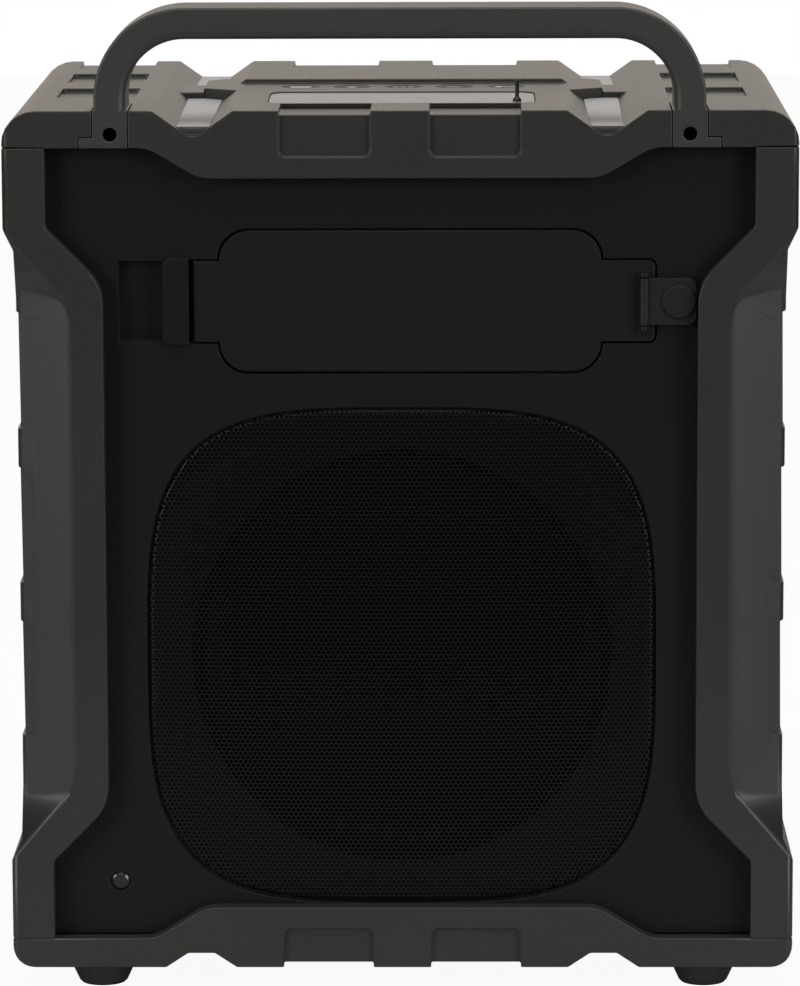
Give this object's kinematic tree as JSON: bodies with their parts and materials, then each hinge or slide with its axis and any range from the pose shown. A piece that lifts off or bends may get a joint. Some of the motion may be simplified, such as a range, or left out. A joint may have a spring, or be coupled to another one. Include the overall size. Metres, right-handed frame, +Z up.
{
  "type": "outdoor speaker",
  "caption": "Portable outdoor speaker: bumper frame round recessed panels, carrying handle, light strips, press keys, perforated grilles and a hinged port hatch with a snap latch.",
  "frame": {"origin": "on the floor under the middle of the body, level with the undersides of the feet", "axes": "+Z up; -Y is the pictured rear face with the hatch and the handle's screws; +X is to the right in the picture"},
  "size_m": [0.352, 0.247, 0.4449],
  "materials": {
    "frame_plastic": "fine moulded grain",
    "panel_plastic": "fine moulded grain",
    "hatch_rubber": "satin",
    "key_rubber": "satin",
    "grille_paint": "matt powder coat on perforated sheet",
    "lens_plastic": "frosted",
    "plate_gloss": "polished",
    "clear_plastic": "polished",
    "aerial_plastic": "smooth",
    "seal_rubber": "matt",
    "foot_rubber": "matt",
    "screw_steel": "blackened",
    "pin_steel": "drawn",
    "board_laminate": "lacquered",
    "socket_plastic": "smooth",
    "socket_steel": "plated",
    "led_tape": "lacquered",
    "driver_steel": "painted pressing",
    "surround_rubber": "satin",
    "cone_fibre": "pressed fibre",
    "dome_silk": "coated weave",
    "magnet_ferrite": "ground",
    "battery_wrap": "shrink wrap",
    "sink_aluminium": "extruded"
  },
  "bodies": {
    "root": {"top_cap": "frame_plastic", "bottom_cap": "frame_plastic", "left_column": "frame_plastic", "right_column": "frame_plastic", "rear_panel": "panel_plastic", "front_panel": "panel_plastic", "handle": "frame_plastic", "handle_screws": "screw_steel", "light_lens_left": "lens_plastic", "light_lens_right": "lens_plastic", "led_tape_left": "led_tape", "led_tape_right": "led_tape", "top_plate": "plate_gloss", "aerial_stub": "aerial_plastic", "key_board": "board_laminate", "key_switches": "socket_plastic", "hatch_pin": "screw_steel", "port_bay": "panel_plastic", "port_board": "board_laminate", "dc_inlet": "socket_plastic", "dc_pin": "socket_steel", "aux_jack": "socket_plastic", "mic_jack": "socket_plastic", "usb_socket": "socket_steel", "rear_grille": "grille_paint", "front_grille": "grille_paint", "indicator_lens": "clear_plastic", "radiator_frame": "driver_steel", "radiator_surround": "surround_rubber", "radiator_cone": "cone_fibre", "woofer_basket": "driver_steel", "woofer_surround": "surround_rubber", "woofer_cone": "cone_fibre", "woofer_dust_cap": "cone_fibre", "woofer_magnet": "magnet_ferrite", "tweeter_bodies": "driver_steel", "tweeter_domes": "dome_silk", "battery_pack": "battery_wrap", "battery_strap": "pin_steel", "amplifier_board": "board_laminate", "heat_sink": "sink_aluminium", "foot_rear_left": "foot_rubber", "foot_rear_right": "foot_rubber", "foot_front_left": "foot_rubber", "foot_front_right": "foot_rubber", "foot_screws": "screw_steel", "cap_screws": "screw_steel", "base_screws": "screw_steel", "driver_screws": "screw_steel"},
    "hatch": {"hatch": "hatch_rubber", "hatch_seal": "seal_rubber", "latch_pin": "screw_steel"},
    "latch": {"latch_tab": "hatch_rubber", "latch_button": "hatch_rubber"},
    "key_1": {"key_1": "key_rubber"},
    "key_2": {"key_2": "key_rubber"},
    "key_3": {"key_3": "key_rubber"},
    "key_4": {"key_4": "key_rubber"},
    "key_5": {"key_5": "key_rubber"}
  },
  "joints": [
    {"name": "hatch_hinge", "type": "hinge", "parent": "root", "child": "hatch", "pos_m": [-0.0907, -0.1131, 0.3139], "axis": [0, 0, -1], "range_deg": [0, 90]},
    {"name": "latch_hinge", "type": "hinge", "parent": "hatch", "child": "latch", "pos_m": [0.1081, -0.1179, 0.3139], "axis": [0, 0, -1], "range_deg": [0, 110]},
    {"name": "key_1_press", "type": "slide", "parent": "root", "child": "key_1", "axis": [0, 0, -1], "range_m": [0, 0.0008], "stiffness_N_per_m": 600, "springref_m": -0.0005},
    {"name": "key_2_press", "type": "slide", "parent": "root", "child": "key_2", "axis": [0, 0, -1], "range_m": [0, 0.0008], "stiffness_N_per_m": 600, "springref_m": -0.0005},
    {"name": "key_3_press", "type": "slide", "parent": "root", "child": "key_3", "axis": [0, 0, -1], "range_m": [0, 0.0008], "stiffness_N_per_m": 600, "springref_m": -0.0005},
    {"name": "key_4_press", "type": "slide", "parent": "root", "child": "key_4", "axis": [0, 0, -1], "range_m": [0, 0.0008], "stiffness_N_per_m": 600, "springref_m": -0.0005},
    {"name": "key_5_press", "type": "slide", "parent": "root", "child": "key_5", "axis": [0, 0, -1], "range_m": [0, 0.0008], "stiffness_N_per_m": 600, "springref_m": -0.0005}
  ]
}
